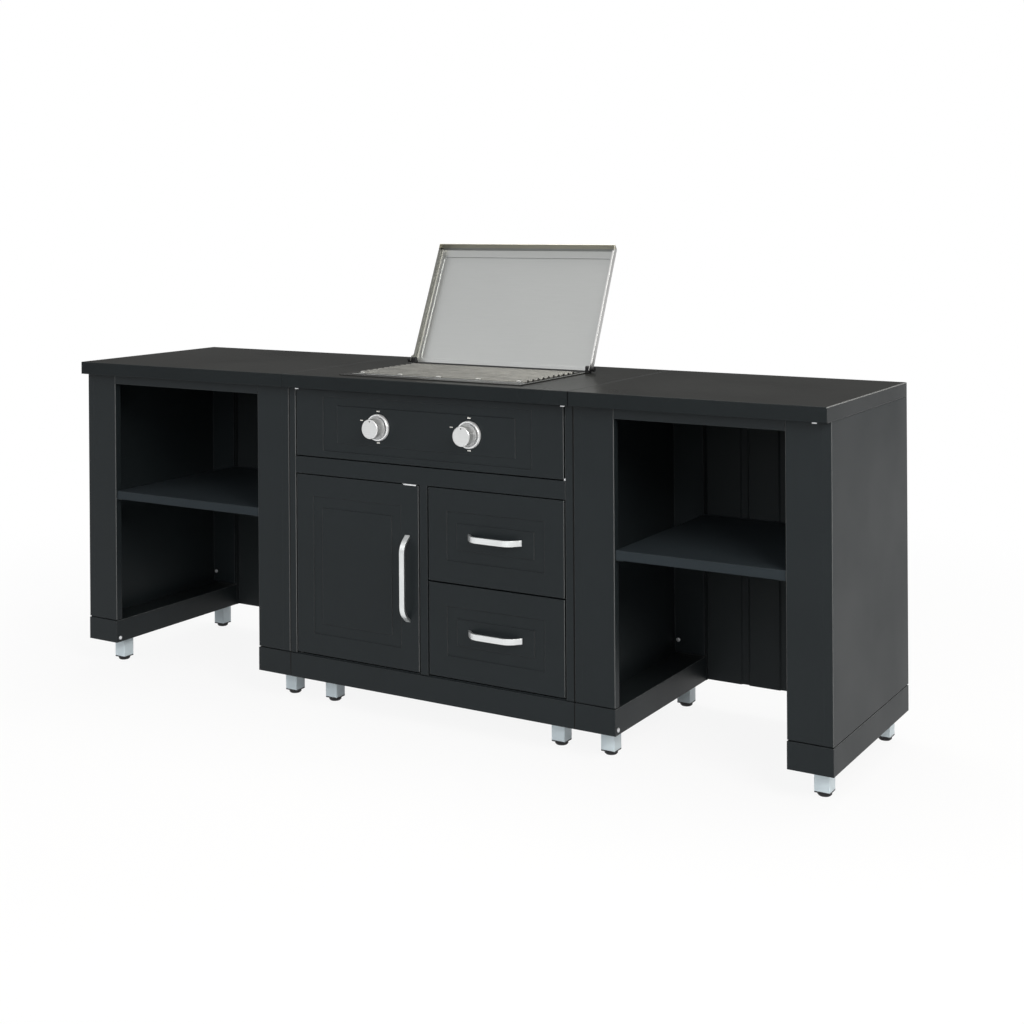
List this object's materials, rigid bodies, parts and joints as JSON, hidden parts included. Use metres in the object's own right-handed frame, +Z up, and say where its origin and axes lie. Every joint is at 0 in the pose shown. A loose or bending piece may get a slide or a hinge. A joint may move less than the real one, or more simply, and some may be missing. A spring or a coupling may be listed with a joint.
{
  "type": "outdoor griddle station",
  "caption": "Outdoor cooking counter with a lidded gas griddle in the middle, a door and drawers below it, and open shelf cabinets on both sides.",
  "frame": {"origin": "on the floor, under the middle of the outer box", "axes": "+X to the right along the front, +Y to the back, +Z up; the front faces -Y"},
  "size_m": [2.34, 0.596, 1.2615],
  "materials": {
    "cabinet_coat": "fine-textured charcoal powder coat",
    "worktop_coat": "semi-gloss charcoal powder coat",
    "leg_silver": "smooth silver powder coat",
    "foot_black": "matt moulded",
    "bright_zinc": "bright zinc plated",
    "box_grey": "smooth grey coat",
    "handle_satin": "satin nickel plated",
    "knob_metal": "satin chrome plated",
    "valve_brass": "as cast and turned",
    "pipe_steel": "plain drawn steel",
    "stainless": "brushed stainless",
    "firebox_enamel": "semi-gloss black enamel",
    "plate_steel": "ground steel plate",
    "hinge_black": "black coated",
    "white_ceramic": "glazed white insulator"
  },
  "bodies": {
    "station": {"left_outer_wall": "cabinet_coat", "left_inner_wall": "cabinet_coat", "left_back_panel": "cabinet_coat", "left_top_rail": "cabinet_coat", "left_shelf": "cabinet_coat", "left_plinths": "cabinet_coat", "left_worktop": "worktop_coat", "left_legs": "leg_silver", "left_feet": "foot_black", "right_outer_wall": "cabinet_coat", "right_inner_wall": "cabinet_coat", "right_back_panel": "cabinet_coat", "right_top_rail": "cabinet_coat", "right_shelf": "cabinet_coat", "right_plinths": "cabinet_coat", "right_worktop": "worktop_coat", "right_legs": "leg_silver", "right_feet": "foot_black", "centre_worktop": "worktop_coat", "face_frame": "cabinet_coat", "centre_left_side": "cabinet_coat", "centre_right_side": "cabinet_coat", "centre_back_panel": "cabinet_coat", "centre_floor": "cabinet_coat", "centre_divider": "cabinet_coat", "centre_plinth": "cabinet_coat", "control_panel": "cabinet_coat", "centre_legs": "leg_silver", "centre_feet": "foot_black", "cabinet_screws": "bright_zinc", "magnetic_catch": "bright_zinc", "drawer_fixed_rails": "bright_zinc", "knob_bezels": "knob_metal", "gas_valves": "valve_brass", "gas_manifold": "pipe_steel", "burners": "stainless", "firebox": "firebox_enamel", "lid_hinges": "hinge_black", "door_hinge_pins": "hinge_black", "igniter_electrodes": "white_ceramic"},
    "lid": {"lid": "stainless"},
    "griddle_plate": {"griddle_plate": "plate_steel"},
    "grease_tray": {"grease_tray": "stainless"},
    "left_valve": {"left_valve_stem": "valve_brass"},
    "right_valve": {"right_valve_stem": "valve_brass"},
    "left_knob": {"left_knob": "knob_metal"},
    "right_knob": {"right_knob": "knob_metal"},
    "door": {"door_panel": "cabinet_coat", "door_handle": "handle_satin", "catch_plate": "bright_zinc"},
    "upper_slides": {"upper_drawer_mid_rails": "bright_zinc"},
    "lower_slides": {"lower_drawer_mid_rails": "bright_zinc"},
    "upper_drawer": {"upper_drawer_front": "cabinet_coat", "upper_drawer_box": "box_grey", "upper_drawer_handle": "handle_satin", "upper_drawer_inner_rails": "bright_zinc"},
    "lower_drawer": {"lower_drawer_front": "cabinet_coat", "lower_drawer_box": "box_grey", "lower_drawer_handle": "handle_satin", "lower_drawer_inner_rails": "bright_zinc"}
  },
  "joints": [
    {"name": "lid_hinge", "type": "hinge", "parent": "station", "child": "lid", "pos_m": [0.055, 0.12, 0.926], "axis": [1, 0, 0], "range_deg": [0, 115.5]},
    {"name": "plate_lift", "type": "slide", "parent": "station", "child": "griddle_plate", "axis": [0, 0, 1], "range_m": [0, 0.12]},
    {"name": "tray_lift", "type": "slide", "parent": "station", "child": "grease_tray", "axis": [0, 0, 1], "range_m": [0, 0.08]},
    {"name": "left_valve_turn", "type": "hinge", "parent": "station", "child": "left_valve", "pos_m": [-0.089, -0.258, 0.783], "axis": [0, -1, 0], "range_deg": [0, 180]},
    {"name": "right_valve_turn", "type": "hinge", "parent": "station", "child": "right_valve", "pos_m": [0.199, -0.258, 0.783], "axis": [0, -1, 0], "range_deg": [0, 180]},
    {"name": "left_knob_push", "type": "slide", "parent": "left_valve", "child": "left_knob", "axis": [0, 1, 0], "range_m": [0, 0.0025], "stiffness_N_per_m": 900, "springref_m": -0.004},
    {"name": "right_knob_push", "type": "slide", "parent": "right_valve", "child": "right_knob", "axis": [0, 1, 0], "range_m": [0, 0.0025], "stiffness_N_per_m": 900, "springref_m": -0.004},
    {"name": "door_swing", "type": "hinge", "parent": "station", "child": "door", "pos_m": [-0.357, -0.249, 0.393], "axis": [0, 0, -1], "range_deg": [0, 110]},
    {"name": "upper_drawer_slide", "type": "slide", "parent": "station", "child": "upper_drawer", "axis": [0, -1, 0], "range_m": [0, 0.4]},
    {"name": "lower_drawer_slide", "type": "slide", "parent": "station", "child": "lower_drawer", "axis": [0, -1, 0], "range_m": [0, 0.4]},
    {"name": "upper_slides_run", "type": "slide", "parent": "station", "child": "upper_slides", "axis": [0, -1, 0], "range_m": [0, 0.2]},
    {"name": "lower_slides_run", "type": "slide", "parent": "station", "child": "lower_slides", "axis": [0, -1, 0], "range_m": [0, 0.2]}
  ],
  "couplings": [
    {"joint": "upper_slides_run", "follows": "upper_drawer_slide", "ratio": 0.5},
    {"joint": "lower_slides_run", "follows": "lower_drawer_slide", "ratio": 0.5}
  ]
}
